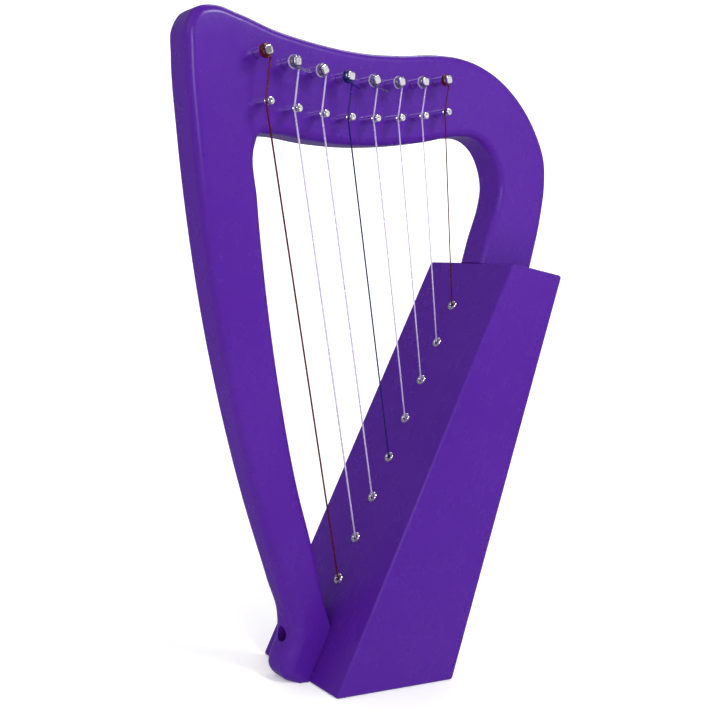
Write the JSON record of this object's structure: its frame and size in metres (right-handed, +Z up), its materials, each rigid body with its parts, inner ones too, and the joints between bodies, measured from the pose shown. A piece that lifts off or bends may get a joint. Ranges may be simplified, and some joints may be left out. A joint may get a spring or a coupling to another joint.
{
  "type": "celtic harp",
  "caption": "Small lap harp: a painted pillar, curved neck and shoulder on a wedge-shaped soundbox, with nylon strings run from tuning pins to eyelets.",
  "frame": {"origin": "centre of the flat base, on the surface that the harp stands on", "axes": "+Z up, +X from the pillar to the back of the soundbox, -Y the player's left, where the strings and pins are"},
  "size_m": [0.2662, 0.072, 0.3651],
  "materials": {
    "painted_wood": "satin paint",
    "plain_wood": "bare",
    "nickel_plate": "polished",
    "red_nylon": "gloss",
    "blue_nylon": "gloss",
    "clear_nylon": "gloss, translucent"
  },
  "bodies": {
    "harp": {"pillar": "painted_wood", "neck": "painted_wood", "shoulder": "painted_wood", "frame_dowels": "plain_wood", "soundboard": "painted_wood", "left_side_panel": "painted_wood", "right_side_panel": "painted_wood", "back_panel": "painted_wood", "base_block": "plain_wood", "top_block": "plain_wood", "string_rib": "plain_wood", "soundboard_liners": "plain_wood", "back_liners": "plain_wood", "eyelets": "nickel_plate", "string_knots": "clear_nylon", "bridge_pins": "nickel_plate", "pillar_screw": "nickel_plate", "shoulder_dowels": "plain_wood", "string_1": "red_nylon", "string_2": "clear_nylon", "string_3": "clear_nylon", "string_4": "blue_nylon", "string_5": "clear_nylon", "string_6": "clear_nylon", "string_7": "clear_nylon", "string_8": "red_nylon"},
    "pin_1": {"tuning_pin_1": "nickel_plate", "string_winding_1": "red_nylon"},
    "pin_2": {"tuning_pin_2": "nickel_plate", "string_winding_2": "clear_nylon"},
    "pin_3": {"tuning_pin_3": "nickel_plate", "string_winding_3": "clear_nylon"},
    "pin_4": {"tuning_pin_4": "nickel_plate", "string_winding_4": "blue_nylon"},
    "pin_5": {"tuning_pin_5": "nickel_plate", "string_winding_5": "clear_nylon"},
    "pin_6": {"tuning_pin_6": "nickel_plate", "string_winding_6": "clear_nylon"},
    "pin_7": {"tuning_pin_7": "nickel_plate", "string_winding_7": "clear_nylon"},
    "pin_8": {"tuning_pin_8": "nickel_plate", "string_winding_8": "red_nylon"}
  },
  "joints": [
    {"name": "tuning_pin_1_turn", "type": "hinge", "parent": "harp", "child": "pin_1", "pos_m": [-0.132, -0.0105, 0.323], "axis": [0, -1, 0], "continuous": true},
    {"name": "tuning_pin_2_turn", "type": "hinge", "parent": "harp", "child": "pin_2", "pos_m": [-0.115, -0.0105, 0.32283], "axis": [0, -1, 0], "continuous": true},
    {"name": "tuning_pin_3_turn", "type": "hinge", "parent": "harp", "child": "pin_3", "pos_m": [-0.098, -0.0105, 0.32372], "axis": [0, -1, 0], "continuous": true},
    {"name": "tuning_pin_4_turn", "type": "hinge", "parent": "harp", "child": "pin_4", "pos_m": [-0.081, -0.0105, 0.32567], "axis": [0, -1, 0], "continuous": true},
    {"name": "tuning_pin_5_turn", "type": "hinge", "parent": "harp", "child": "pin_5", "pos_m": [-0.064, -0.0105, 0.32868], "axis": [0, -1, 0], "continuous": true},
    {"name": "tuning_pin_6_turn", "type": "hinge", "parent": "harp", "child": "pin_6", "pos_m": [-0.047, -0.0105, 0.33275], "axis": [0, -1, 0], "continuous": true},
    {"name": "tuning_pin_7_turn", "type": "hinge", "parent": "harp", "child": "pin_7", "pos_m": [-0.03, -0.0105, 0.33788], "axis": [0, -1, 0], "continuous": true},
    {"name": "tuning_pin_8_turn", "type": "hinge", "parent": "harp", "child": "pin_8", "pos_m": [-0.013, -0.0105, 0.34407], "axis": [0, -1, 0], "continuous": true}
  ]
}
